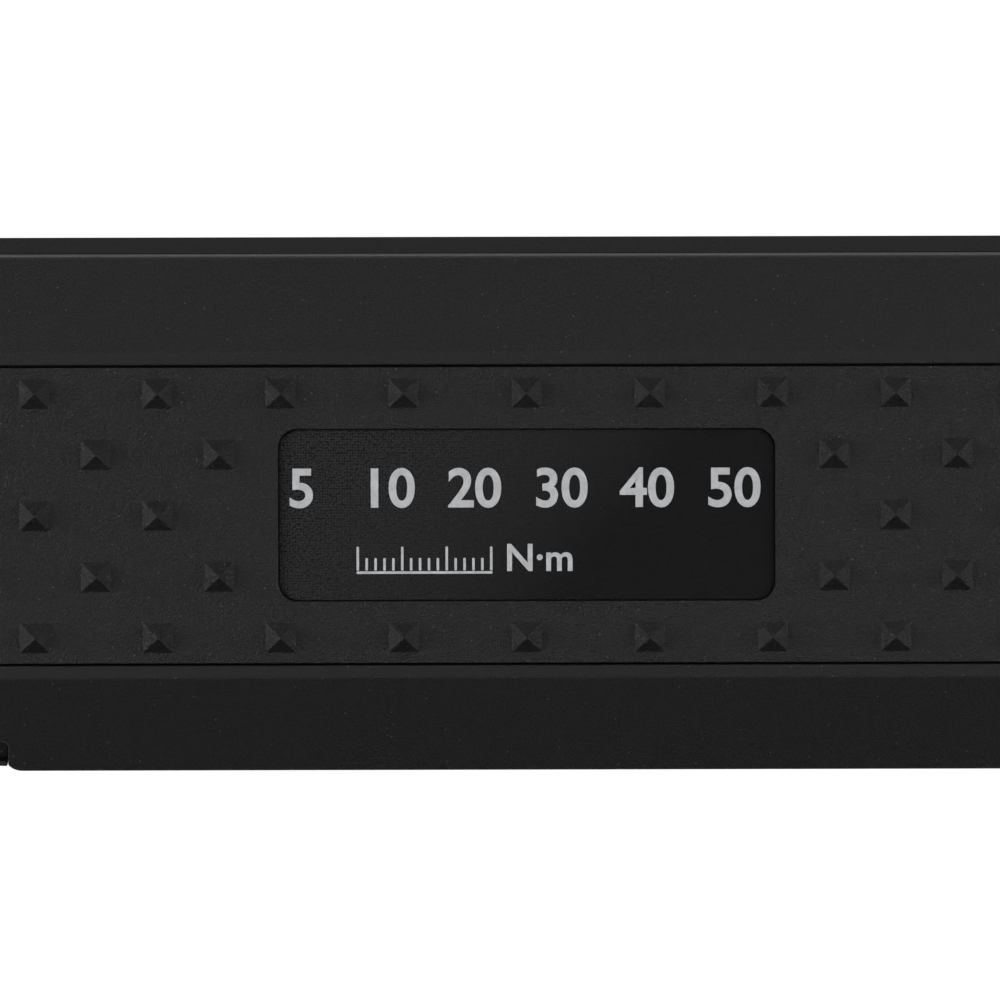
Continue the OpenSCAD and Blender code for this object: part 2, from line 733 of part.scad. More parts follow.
module battery_tray() {
    color("#2c2c2f") difference() {
        block(210, 262.5, -13.2, 13.2, floor_z, 11.2);
        block(211.2, 261.3, -12, 12, floor_z - 1, 10);
        for (z = [9, 10.4]) translate([0, 8.75, z]) rotate([0, 90, 0]) rod(0, 0, 0.6, 209, 212);
    }
}

// A cell that lies along +X, with its raised pole at the far end
module cell() {
    rotate([0, 90, 0]) {
        rod(0, 0, cell_r, 0, 43.7);
        rod(0, 0, 1.9, 43.6, 44.5);
    }
}

module battery_cells() {
    color("steelblue") {
        translate([215.6, -cell_y, cell_z]) cell();
        translate([257.4, cell_y, cell_z]) rotate([0, 0, 180]) cell();
    }
}

module cell_contacts() {
    color("silver") for (c = [[211.25, -cell_y], [212.35, cell_y], [260.15, -cell_y], [260.85, cell_y]])
        block(c[0], c[0] + 0.4, c[1] - 4.2, c[1] + 4.2, cell_z - 4.2, cell_z + 4.2);
}

module cell_springs() {
    color("lightgray") {
        translate([211.7, -cell_y, cell_z]) rotate([0, 90, 0]) coil_spring(2.6, 0.3, 3.85, 3);
        translate([257.45, cell_y, cell_z]) rotate([0, 90, 0]) coil_spring(2.6, 0.3, 3.35, 3);
    }
}

// One wire from the battery tray, along the beam and up to the board
module wire(z, x_up) {
    r = 0.55;
    translate([0, 8.75, z]) {
        rotate([0, 90, 0]) rod(0, 0, r, x_up, 211.1);
        translate([x_up, 0, 0]) sphere(r);
        rod(x_up, 0, r, 0, board_z0 - 0.02 - z);
    }
}

module battery_wires() {
    color("firebrick") {
        wire(9, 137.6);
        wire(10.4, 139.2);
    }
}

module battery_door() {
    color("#202022") difference() {
        union() {
            block(door_x0, door_x1, -door_half_w, door_half_w, bottom_z, -1.9);
            block(door_axis[0], door_x0 + eps, -4.85, 4.85, bottom_z, -1.9);
            translate([door_axis[0], 0, door_axis[1]]) rotate([-90, 0, 0]) rod(0, 0, 1.1, -4.85, 4.85);
            block(door_x1 - eps, 264, -4, 4, -3.6, -2.4);
        }
        translate([door_axis[0], 0, door_axis[1]]) rotate([-90, 0, 0]) rod(0, 0, 0.66, -6, 6);
        for (i = [0:5]) block(252 + i * 1.6, 252.8 + i * 1.6, -6, 6, bottom_z - 1, bottom_z + 0.4);
    }
}

module door_pin() {
    color("silver") translate([door_axis[0], 0, door_axis[1]]) rotate([-90, 0, 0]) rod(0, 0, 0.6, -9.4, 9.4);
}

// ---- Data port ----

// Lays a child made about the Z axis along the port flap's hinge
module at_flap_hinge() {
    translate([0, flap_axis_y, flap_axis_z]) rotate([0, 90, 0]) children();
}

module port_flap() {
    x0 = notch_x - notch_w / 2 + 0.1;
    x1 = notch_x + notch_w / 2 - 0.1;
    color("#141416") union() {
        rise(flap_axis_z, 16.2) intersection() {
            translate([notch_x, -half_w]) round_rect(x1 - x0, 2 * notch_depth - 0.02, 0.42);
            translate([x0, 0.4 - half_w]) square([x1 - x0, 3]);
        }
        at_flap_hinge() rod(0, 0, 0.9, x0 + 0.25, x1 - 0.25);
        at_flap_hinge() rod(0, 0, 0.5, x0 - 1.1, x1 + 1.1);
        block(x0, x1, 0.25 - half_w, 0.65 - half_w, 16.1, 19.9);
        block(notch_x - 3.8, notch_x + 3.8, -18.1, -17.45, port_z - 0.9, port_z + 0.9);
    }
}

module usb_socket() {
    color("silver") translate([notch_x, 0, port_z]) difference() {
        along_y(-17.3, -10.3) round_rect(8.94, 3.16, 1.5);
        along_y(-17.4, -10.6) round_rect(8.34, 2.56, 1.2);
    }
}

module usb_tongue() {
    color("black") block(notch_x - 3.3, notch_x + 3.3, -16.9, -10.62, port_z - 0.35, port_z + 0.35);
}

module port_board() {
    color("darkgreen") block(notch_x - 5.5, notch_x + 5.5, -15.2, -8.9, port_z - 2.42, port_z - 1.6);
}

ratchet_head();
drive_gear();
pawl();
pawl_pin();
selector_lever();
selector_plunger();
plunger_spring();
head_cover();
cover_screws();
release_button();
release_spring();
lock_ball();
drive_seal();
torque_beam();
beam_pins();
load_pin();
load_bushes();
strain_gauges();
gauge_leads();
nose_seal();
front_shell();
rear_shell();
shell_seal();
faceplate();
lens();
lcd_module();
backlight();
main_board();
board_chips();
board_screws();
tact_switches();
led_chips();
light_pipes();
buzzer();
up_button();
unit_button();
down_button();
mode_button();
power_button();
grip_pad();
label_plate();
rear_pad();
battery_tray();
battery_cells();
cell_contacts();
cell_springs();
battery_wires();
battery_door();
door_pin();
port_flap();
usb_socket();
usb_tongue();
port_board();
housing_screws();
end_cap();
lanyard_eyelet();
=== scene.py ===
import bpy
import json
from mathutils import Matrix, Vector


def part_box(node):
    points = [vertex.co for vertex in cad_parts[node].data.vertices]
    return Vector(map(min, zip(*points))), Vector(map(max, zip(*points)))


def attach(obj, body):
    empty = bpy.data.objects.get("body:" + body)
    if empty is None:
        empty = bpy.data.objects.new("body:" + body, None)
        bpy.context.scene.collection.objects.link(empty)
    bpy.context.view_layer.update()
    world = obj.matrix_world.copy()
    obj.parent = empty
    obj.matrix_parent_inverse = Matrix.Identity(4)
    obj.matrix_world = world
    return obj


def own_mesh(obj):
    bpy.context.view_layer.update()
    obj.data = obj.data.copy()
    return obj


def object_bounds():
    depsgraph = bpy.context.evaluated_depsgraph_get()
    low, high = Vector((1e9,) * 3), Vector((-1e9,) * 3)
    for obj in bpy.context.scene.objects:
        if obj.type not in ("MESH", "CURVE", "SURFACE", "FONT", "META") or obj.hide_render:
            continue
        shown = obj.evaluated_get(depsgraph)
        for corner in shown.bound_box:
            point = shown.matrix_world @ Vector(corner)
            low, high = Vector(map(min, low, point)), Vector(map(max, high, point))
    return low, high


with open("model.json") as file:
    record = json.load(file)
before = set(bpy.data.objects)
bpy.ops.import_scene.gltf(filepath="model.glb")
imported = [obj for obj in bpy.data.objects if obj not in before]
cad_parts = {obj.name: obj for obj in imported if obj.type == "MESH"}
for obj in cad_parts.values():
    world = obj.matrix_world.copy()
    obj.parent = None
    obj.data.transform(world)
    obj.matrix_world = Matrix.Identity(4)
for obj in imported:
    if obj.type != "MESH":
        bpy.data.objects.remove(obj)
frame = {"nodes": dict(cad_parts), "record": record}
cad_box = [[float(v) for v in corner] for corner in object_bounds()]

import json
import math

import bmesh
import bpy
from mathutils import Matrix, Vector

MM = 0.001
TURN = 2 * math.pi

# ---------------------------------------------------------------- places, all read from the frame

label_low, label_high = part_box("label_plate")
display_low, display_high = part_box("lcd_module")
label_mid = (label_low + label_high) / 2
lowest_z = cad_box[0][2]
cover_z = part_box("head_cover")[1].z
flat_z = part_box("faceplate")[1].z  # the flat strip of the display side
rim_z = flat_z - 2.4 * MM  # where the sloped edge meets the side
rim_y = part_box("front_shell")[1].y - 1.0 * MM  # the far side's rim is out past this


# ---------------------------------------------------------------- materials

PLASTIC = (0.0080, 0.0080, 0.0087)
GLINT_PITCH = 1.0  # millimetres between the painted glints, bright specks painted into the plastic's colour
GLINT_TONE = 18.0  # how many times lighter than the plastic a painted glint is
RIM_HIGHLIGHT_TONE = 24.0  # how many times lighter than the plastic the painted highlight on the far rim is
RIM_HIGHLIGHT_HEIGHT = 0.1  # millimetres over which the far rim's painted highlight fades out up the slope


class Look:
    """A procedural material on one Principled shader. Its textures are laid out in millimetres."""

    def __init__(self, name, roughness=0.5, metallic=0.0, **sockets):
        self.material = bpy.data.materials.new(name)
        self.material.use_nodes = True
        self.nodes = self.material.node_tree.nodes
        self.links = self.material.node_tree.links
        self.shader = self.nodes["Principled BSDF"]
        self.shader.inputs["Roughness"].default_value = roughness
        self.shader.inputs["Metallic"].default_value = metallic
        for key, value in sockets.items():
            socket = key.replace("_", " ").title().replace("Ior", "IOR")
            self.shader.inputs[socket].default_value = value
        self.place = self.node("ShaderNodeTexCoord").outputs["Object"]
        self.normal = None

    def node(self, kind, inputs=None, **settings):
        made = self.nodes.new(kind)
        for key, value in settings.items():
            setattr(made, key, value)
        for key, value in (inputs or {}).items():
            self.feed(made.inputs[key], value)
        return made

    def feed(self, socket, value):
        if isinstance(value, bpy.types.NodeSocket):
            self.links.new(value, socket)
        else:
            socket.default_value = value

    def laid_out(self, size, stretch=(1, 1, 1)):
        """Coordinates in which one unit is size millimetres, longer where stretch is over 1."""
        scale = [1 / (size * MM * s) for s in stretch]
        return self.node("ShaderNodeMapping", {"Vector": self.place, "Scale": scale}).outputs["Vector"]

    def noise(self, size, detail=3.0, rough=0.5, stretch=(1, 1, 1), distortion=0.0):
        return self.node("ShaderNodeTexNoise", {
            "Vector": self.laid_out(size, stretch), "Scale": 1.0, "Detail": detail,
            "Roughness": rough, "Distortion": distortion}).outputs["Fac"]

    def cells(self, size, feature="F1", stretch=(1, 1, 1), randomness=1.0):
        return self.node("ShaderNodeTexVoronoi", {
            "Vector": self.laid_out(size, stretch), "Scale": 1.0, "Randomness": randomness},
            feature=feature).outputs["Distance"]

    def remap(self, value, low, high, to_low=0.0, to_high=1.0):
        return self.node("ShaderNodeMapRange", {
            "Value": value, "From Min": low, "From Max": high,
            "To Min": to_low, "To Max": to_high}).outputs["Result"]

    def maths(self, operation, a, b=0.0, c=0.0):
        return self.node("ShaderNodeMath", {0: a, 1: b, 2: c}, operation=operation).outputs[0]

    def axis(self, name):
        return self.node("ShaderNodeSeparateXYZ", {0: self.place}).outputs[name]

    def blend(self, factor, low, high):
        return self.node("ShaderNodeMix", {
            "Factor": factor, 6: (*low, 1) if isinstance(low, tuple) else low,
            7: (*high, 1) if isinstance(high, tuple) else high}, data_type="RGBA").outputs[2]

    def colour(self, value):
        self.feed(self.shader.inputs["Base Color"], (*value, 1) if isinstance(value, tuple) else value)

    def rough(self, value):
        self.feed(self.shader.inputs["Roughness"], value)

    def bump(self, height, depth, strength=1.0):
        """Adds a relief depth millimetres high to the ones already there."""
        inputs = {"Height": height, "Distance": depth * MM, "Strength": strength}
        if self.normal:
            inputs["Normal"] = self.normal
        self.normal = self.node("ShaderNodeBump", inputs).outputs["Normal"]
        self.feed(self.shader.inputs["Normal"], self.normal)


def shade(tone, factor):
    return tuple(min(1.0, channel * factor) for channel in tone)


def moulded(name, tone, grain=0.12, depth=0.075, roughness=0.45, glints=0.65, specular=0.5, worms=0.0):
    """Moulded plastic or rubber with a spark-eroded grain, faint cloudiness and a few bright specks
    painted in as glints.
    """
    look = Look(name, specular_ior_level=specular)
    clouds = look.noise(11, 4, 0.6)
    grit = look.noise(grain, 2, 0.65)
    painted_glints = look.remap(look.cells(GLINT_PITCH), 0.085, 0.045)
    worn = look.blend(look.remap(clouds, 0.35, 0.7), shade(tone, 0.93), shade(tone, 1.07))
    grained = look.blend(look.remap(grit, 0.36, 0.64), shade(tone, 0.05), shade(tone, 2.6))
    grained = look.blend(0.8, worn, grained)
    # Painted glints: bright specks painted into the colour, lighter by the glint tone
    look.colour(look.blend(look.maths("MULTIPLY", painted_glints, glints), grained, shade(tone, GLINT_TONE)))
    look.rough(look.remap(look.noise(grain * 4, 3), 0.3, 0.7, roughness - 0.05, roughness + 0.05))
    look.bump(grit, depth)
    if worms:
        look.bump(look.noise(0.24, 1, 0.5, distortion=1.6), worms)
    return look


def front_look():
    """The front shell's plastic, with a painted highlight along the far rim by the parting line: lighter
    there and smoother.
    """
    look = moulded("front_plastic", PLASTIC)
    # Painted highlight: colour lightened and finish smoothed along the far rim, fading out up the slope
    rim_highlight = look.remap(look.axis("Z"), rim_z - 0.02 * MM, rim_z + RIM_HIGHLIGHT_HEIGHT * MM, 1.0, 0.0)
    far_side = look.maths("GREATER_THAN", look.axis("Y"), rim_y)
    rim_highlight = look.maths("MULTIPLY", look.maths("MULTIPLY", rim_highlight, rim_highlight), far_side)
    plain_colour = look.shader.inputs["Base Color"].links[0].from_socket
    plain_rough = look.shader.inputs["Roughness"].links[0].from_socket
    look.colour(look.blend(rim_highlight, plain_colour, shade(PLASTIC, RIM_HIGHLIGHT_TONE)))
    look.rough(look.node("ShaderNodeMix", {"Factor": rim_highlight, 2: plain_rough, 3: 0.26}).outputs[0])
    return look


def rubbed(name, tone, roughness=0.3, brush=(14, 1, 14), lines=0.05, depth=0.0012):
    """Ground or brushed metal, its fine lines long along the largest value in brush."""
    look = Look(name, metallic=1.0)
    streaks = look.noise(lines, 3, 0.7, brush)
    smudge = look.noise(7, 5, 0.6)
    look.colour(look.blend(look.remap(smudge, 0.3, 0.75), shade(tone, 0.86), shade(tone, 1.06)))
    gloss = look.remap(streaks, 0.25, 0.75, roughness - 0.08, roughness + 0.1)
    look.rough(look.maths("ADD", gloss, look.remap(smudge, 0.45, 0.8, 0.0, 0.08)))
    look.bump(streaks, depth)
    return look


def plated(name, tone, roughness=0.1):
    """Chrome plate with fingerprints, hairline scratches and a faint waviness."""
    look = Look(name, metallic=1.0)
    haze = look.noise(5, 6, 0.62, distortion=0.6)
    hairs = look.remap(look.noise(0.09, 2, 0.8, (30, 1, 1)), 0.64, 0.74)
    look.colour(look.blend(look.remap(haze, 0.3, 0.8), shade(tone, 0.93), shade(tone, 1.05)))
    veil = look.remap(haze, 0.35, 0.75, roughness - 0.04, roughness + 0.1)
    look.rough(look.maths("ADD", veil, look.maths("MULTIPLY", hairs, 0.12)))
    look.bump(look.noise(9, 2), 0.03, 0.3)
    look.bump(hairs, 0.0006)
    return look


def tumbled(name, tone, roughness=0.42):
    """Small metal parts with a fine, directionless finish."""
    look = Look(name, metallic=1.0)
    fine = look.noise(0.22, 4, 0.7)
    broad = look.noise(2.5, 4, 0.6)
    look.colour(look.blend(look.remap(broad, 0.3, 0.75), shade(tone, 0.82), shade(tone, 1.08)))
    look.rough(look.remap(fine, 0.3, 0.7, roughness - 0.08, roughness + 0.08))
    look.bump(fine, 0.004)
    return look


def circular_brushed(name, tone, centre):
    """Metal turned on a face plate: fine rings round a vertical axis."""
    look = Look(name, metallic=1.0)
    x = look.maths("SUBTRACT", look.axis("X"), centre.x)
    y = look.maths("SUBTRACT", look.axis("Y"), centre.y)
    squares = look.maths("ADD", look.maths("MULTIPLY", x, x), look.maths("MULTIPLY", y, y))
    radius = look.maths("SQRT", squares)
    rings = look.node("ShaderNodeTexNoise", {"W": look.maths("MULTIPLY", radius, 9 / MM), "Scale": 1.0,
                                             "Detail": 3.0}, noise_dimensions="1D").outputs["Fac"]
    smudge = look.noise(6, 4, 0.6)
    look.colour(look.blend(look.remap(smudge, 0.3, 0.7), shade(tone, 0.88), shade(tone, 1.05)))
    look.rough(look.remap(rings, 0.25, 0.75, 0.2, 0.38))
    look.bump(rings, 0.0015)
    return look


def glossy(name, tone, roughness=0.18, specular=0.5):
    """Polished plastic with a slight orange peel and a few hairlines."""
    look = Look(name, specular_ior_level=specular)
    peel = look.noise(1.6, 2)
    hairs = look.remap(look.noise(0.1, 2, 0.8, (24, 1, 1)), 0.66, 0.74)
    dust = look.remap(look.noise(0.35, 1), 0.74, 0.8)
    look.colour(look.blend(dust, tone, shade(tone, 2.5)))
    look.rough(look.maths("ADD", look.remap(peel, 0.3, 0.7, roughness - 0.04, roughness + 0.05),
                          look.maths("MULTIPLY", hairs, 0.1)))
    look.bump(peel, 0.004, 0.6)
    look.bump(hairs, 0.0008)
    return look


def lens_look():
    look = Look("lens_clear", roughness=0.03, ior=1.46, transmission_weight=1.0)
    smear = look.noise(4, 4, 0.6)
    look.colour(look.blend(smear, (0.95, 0.98, 0.97), (1.0, 1.0, 1.0)))
    look.rough(look.remap(smear, 0.4, 0.8, 0.015, 0.07))
    return look


def display_look():
    """The grey-green reflective layer of a display, with its faint column pitch."""
    look = Look("lcd_glass", roughness=0.35)
    columns = look.maths("SINE", look.maths("MULTIPLY", look.axis("X"), TURN / (0.35 * MM)))
    cloud = look.noise(8, 3)
    base = look.blend(look.remap(cloud, 0.3, 0.7), (0.30, 0.37, 0.28), (0.37, 0.44, 0.34))
    look.colour(look.blend(look.remap(columns, -1, 1, 0.0, 0.12), base, (0.20, 0.26, 0.20)))
    look.rough(look.remap(look.noise(0.3, 2), 0.3, 0.7, 0.3, 0.42))
    return look


def board_look():
    """Solder mask over copper tracks: straight runs that show as a slightly lighter, raised pattern."""
    look = Look("board_green", roughness=0.3)
    tracks = look.node("ShaderNodeTexBrick", {
        "Vector": look.laid_out(1.0), "Scale": 0.7, "Mortar Size": 0.045, "Mortar Smooth": 0.2,
        "Brick Width": 2.3, "Row Height": 0.6, "Color1": (0, 0, 0, 1), "Color2": (0, 0, 0, 1),
        "Mortar": (1, 1, 1, 1)}).outputs["Color"]
    weave = look.noise(0.5, 2)
    mask = look.blend(look.remap(weave, 0.3, 0.7), (0.016, 0.11, 0.045), (0.022, 0.14, 0.058))
    look.colour(look.blend(tracks, mask, (0.05, 0.25, 0.10)))
    look.rough(look.remap(weave, 0.3, 0.7, 0.25, 0.36))
    look.bump(tracks, 0.03)
    return look


def label_look():
    """The black label plate: leather grain, with painted shade in its creases, that fades to a smooth,
    darker face towards +X.
    """
    look = Look("label_black", specular_ior_level=0.2)
    along = look.maths("ADD", look.axis("X"), look.maths("MULTIPLY", look.axis("Y"), -0.8))
    fade = look.remap(along, label_mid.x - 17 * MM, label_mid.x + 8 * MM, 1.0, 0.0)
    hide = look.cells(0.215, randomness=0.55)
    pores = look.noise(0.11, 2, 0.6)
    tone = look.blend(fade, (0.0062, 0.0062, 0.0068), (0.055, 0.055, 0.057))
    # Painted shade: the grain's creases are darkened in colour on the grained part
    crease_shade = look.maths("MULTIPLY", look.remap(hide, 0.2, 0.6), look.maths("MULTIPLY", fade, 0.8))
    tone = look.blend(crease_shade, tone, (0.004, 0.004, 0.0043))
    # Painted glints: bright specks painted into the label's colour
    painted_glints = look.remap(look.cells(GLINT_PITCH), 0.05, 0.025)
    look.colour(look.blend(look.maths("MULTIPLY", painted_glints, 0.5), tone, (0.06, 0.06, 0.065)))
    look.rough(look.remap(pores, 0.3, 0.7, 0.42, 0.56))
    look.bump(look.maths("MULTIPLY", hide, fade), 0.14)
    look.bump(pores, 0.12)
    return look


def ink_look(name="print_silver", tone=(0.62, 0.63, 0.65)):
    """Silver ink: a fine metallic grain, thinner in places."""
    look = Look(name, metallic=0.35, specular_ior_level=0.5)
    grain = look.noise(0.09, 2, 0.6)
    thin = look.noise(0.8, 4, 0.6)
    look.colour(look.blend(look.remap(thin, 0.3, 0.75), shade(tone, 0.8), shade(tone, 1.12)))
    look.rough(look.remap(grain, 0.3, 0.7, 0.34, 0.5))
    look.bump(grain, 0.004)
    return look


def segment_look():
    look = Look("display_segments", roughness=0.4)
    grain = look.noise(0.3, 2)
    look.colour(look.blend(look.remap(grain, 0.3, 0.7), (0.014, 0.018, 0.016), (0.022, 0.026, 0.024)))
    return look


def cell_look():
    """A cell's printed jacket: a copper-coloured end, a thin silver ring and a dark blue body."""
    low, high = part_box("battery_cells")
    mid = (low.x + high.x) / 2
    look = Look("cell_jacket", roughness=0.3, metallic=0.6)
    side = look.maths("GREATER_THAN", look.axis("Y"), 0.0)
    along = look.maths("SUBTRACT", look.axis("X"), mid)
    toward_pole = look.maths("MULTIPLY", along, look.remap(side, 0, 1, 1.0, -1.0))
    cap_start = 10 * MM
    cap = look.maths("GREATER_THAN", toward_pole, cap_start)
    from_cap = look.maths("ABSOLUTE", look.maths("SUBTRACT", toward_pole, cap_start))
    ring = look.maths("LESS_THAN", from_cap, 0.5 * MM)
    smudge = look.noise(5, 4, 0.6)
    body = look.blend(smudge, (0.02, 0.05, 0.13), (0.03, 0.07, 0.17))
    copper = look.blend(smudge, (0.48, 0.22, 0.09), (0.6, 0.3, 0.13))
    look.colour(look.blend(ring, look.blend(cap, body, copper), (0.75, 0.75, 0.76)))
    look.rough(look.remap(smudge, 0.3, 0.7, 0.24, 0.36))
    return look


drive_axis = Vector((0, 0, 0))
HARD_FILM = {"grain": 0.3, "depth": 0.004, "roughness": 0.3, "glints": 0.1}
KEY_SKIN = {"grain": 0.18, "depth": 0.006, "roughness": 0.5}
LOOKS = {
    "front_plastic": front_look(),
    "rear_plastic": moulded("rear_plastic", (0.0085, 0.0085, 0.0092), specular=0.25),
    "pad_rubber": moulded("pad_rubber", (0.0088, 0.0088, 0.0092), depth=0.08, worms=0.10),
    "cap_rubber": moulded("cap_rubber", (0.010, 0.010, 0.0105), grain=0.35, roughness=0.66),
    "flap_rubber": moulded("flap_rubber", (0.012, 0.012, 0.0125), roughness=0.6),
    # Black rubber, partly painted shade: near black and nearly unreflective so the seal between the
    # shells reads as the dark shadow line at the parting
    "seal_rubber": moulded(
        "seal_rubber", (0.0015, 0.0015, 0.0016), roughness=0.8, glints=0.0, specular=0.02),
    "key_rubber": moulded("key_rubber", (0.035, 0.035, 0.037), **KEY_SKIN),
    "key_red": moulded("key_red", (0.36, 0.022, 0.018), glints=0.05, **KEY_SKIN),
    "tray_plastic": moulded("tray_plastic", (0.02, 0.02, 0.022), roughness=0.45),
    "chip_black": moulded("chip_black", (0.012, 0.012, 0.013), grain=0.12, depth=0.006, glints=0.1),
    "light_guide": moulded("light_guide", (0.8, 0.81, 0.78), grain=0.3, roughness=0.4, glints=0.0),
    "led_white": moulded("led_white", (0.78, 0.76, 0.6), grain=0.2, roughness=0.4, glints=0.0),
    "wire_red": moulded("wire_red", (0.42, 0.02, 0.02), grain=0.3, roughness=0.4, glints=0.05),
    "gauge_film": moulded("gauge_film", (0.42, 0.2, 0.06), **HARD_FILM),
    "flex_lead": moulded("flex_lead", (0.55, 0.25, 0.05), **HARD_FILM),
    "faceplate_gloss": glossy("faceplate_gloss", (0.008, 0.008, 0.009)),
    "pipe_green": glossy("pipe_green", (0.05, 0.34, 0.09), 0.15),
    "lens_clear": lens_look(),
    "lcd_glass": display_look(),
    "board_green": board_look(),
    "label_black": label_look(),
    "head_chrome": plated("head_chrome", (0.66, 0.66, 0.67), 0.2),
    "lever_chrome": plated("lever_chrome", (0.7, 0.7, 0.71), 0.1),
    "eyelet_steel": plated("eyelet_steel", (0.68, 0.68, 0.69), 0.14),
    "ball_steel": plated("ball_steel", (0.74, 0.74, 0.75), 0.08),
    "cover_steel": circular_brushed("cover_steel", (0.5, 0.5, 0.51), drive_axis),
    "drive_steel": rubbed("drive_steel", (0.56, 0.56, 0.57), 0.26, (1, 1, 16)),
    "pawl_steel": tumbled("pawl_steel", (0.22, 0.21, 0.2)),
    "pin_steel": rubbed("pin_steel", (0.5, 0.5, 0.51), 0.24, (12, 12, 1)),
    "spring_steel": tumbled("spring_steel", (0.36, 0.36, 0.38), 0.34),
    "beam_steel": rubbed("beam_steel", (0.36, 0.37, 0.39), 0.34, (20, 1, 1), 0.09),
    "bush_bronze": tumbled("bush_bronze", (0.55, 0.35, 0.14), 0.45),
    "screw_black": tumbled("screw_black", (0.05, 0.05, 0.055), 0.4),
    "screw_zinc": tumbled("screw_zinc", (0.6, 0.6, 0.58), 0.35),
    "switch_steel": tumbled("switch_steel", (0.55, 0.55, 0.56), 0.35),
    "contact_nickel": tumbled("contact_nickel", (0.62, 0.6, 0.56), 0.28),
    "cell_jacket": cell_look(),
}
INK = ink_look()
SEGMENTS = segment_look()


# ---------------------------------------------------------------- the CAD pieces' edges and materials

# Width in millimetres that each node's edges are broken by
EDGE_WIDTHS = {
    "front_shell": 0.12, "rear_shell": 0.12, "end_cap": 0.12, "grip_pad": 0.06, "faceplate": 0.1,
    "rear_pad": 0.2, "port_flap": 0.12, "battery_door": 0.15, "shell_seal": 0.03, "nose_seal": 0.5,
    "ratchet_head": 0.3, "head_cover": 0.2, "selector_lever": 0.3, "drive_gear": 0.12, "torque_beam": 0.4,
    "release_button": 0.12, "lanyard_eyelet": 0.25, "housing_screws": 0.12, "cover_screws": 0.12,
    "battery_tray": 0.12, "battery_cells": 0.3, "power_button": 0.2, "mode_button": 0.2,
    "up_button": 0.2, "unit_button": 0.2, "down_button": 0.2, "lens": 0.12, "light_pipes": 0.15,
}
PLAIN_EDGE = 0.05
SHARP = 30  # degrees between two faces from which an edge is rounded
CREASE_WIDTH = 0.12
SPRINGS = ("plunger_spring", "release_spring", "cell_springs")
# Nodes whose flat faces are joined into one before their edges are rounded
MERGED = ("front_shell", "rear_shell", "battery_door", "down_button")
FLAT_SHADED = ("faceplate",)  # a glossy plate with round holes, whose long thin triangles would show
CREASED = {"front_shell": 12}  # nodes whose shallow edges, over this many degrees, stay crisp


def round_edges(piece, name, width, angle, segments):
    bevel = piece.modifiers.new(name, "BEVEL")
    bevel.limit_method = "ANGLE"
    bevel.angle_limit = math.radians(angle)
    bevel.width = width * MM
    bevel.segments = segments
    bevel.use_clamp_overlap = False
    bevel.miter_outer = "MITER_ARC"


def break_edges(piece, name):
    """Joins the faces' split corners and rounds every sharp edge, by modifiers alone."""
    for face in piece.data.polygons:
        face.use_smooth = name not in FLAT_SHADED
    weld = piece.modifiers.new("weld", "WELD")
    weld.merge_threshold = 0.002 * MM
    if name in MERGED:
        merge = piece.modifiers.new("merge_flat_faces", "DECIMATE")
        merge.decimate_type = "DISSOLVE"
        merge.angle_limit = math.radians(0.3)
    if name not in SPRINGS:
        shallow = CREASED.get(name)
        width = EDGE_WIDTHS.get(name, PLAIN_EDGE)
        round_edges(piece, "broken_edges", width, SHARP, 8 if shallow else 3)
        if shallow:
            round_edges(piece, "crisp_creases", CREASE_WIDTH, shallow, 2)
    if name in FLAT_SHADED:
        return
    normals = piece.modifiers.new("flat_faces", "WEIGHTED_NORMAL")
    normals.weight = 60
    normals.keep_sharp = False


def dress_nodes():
    slot_of = {part["node"]: part["material_slot"] for part in frame["record"]["subparts"]}
    for name, piece in frame["nodes"].items():
        look = LOOKS[slot_of[name]]
        piece.data.materials.clear()
        piece.data.materials.append(look.material)
        for face in piece.data.polygons:
            face.material_index = 0
        break_edges(piece, name)


def squash_release_spring():
    """Gives the release spring its own copy of its mesh."""
    spring = frame["nodes"]["release_spring"]
    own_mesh(spring)


# ---------------------------------------------------------------- printed and engraved marks

INK_HEIGHT = 0.03  # how far a printed mark stands out, in millimetres


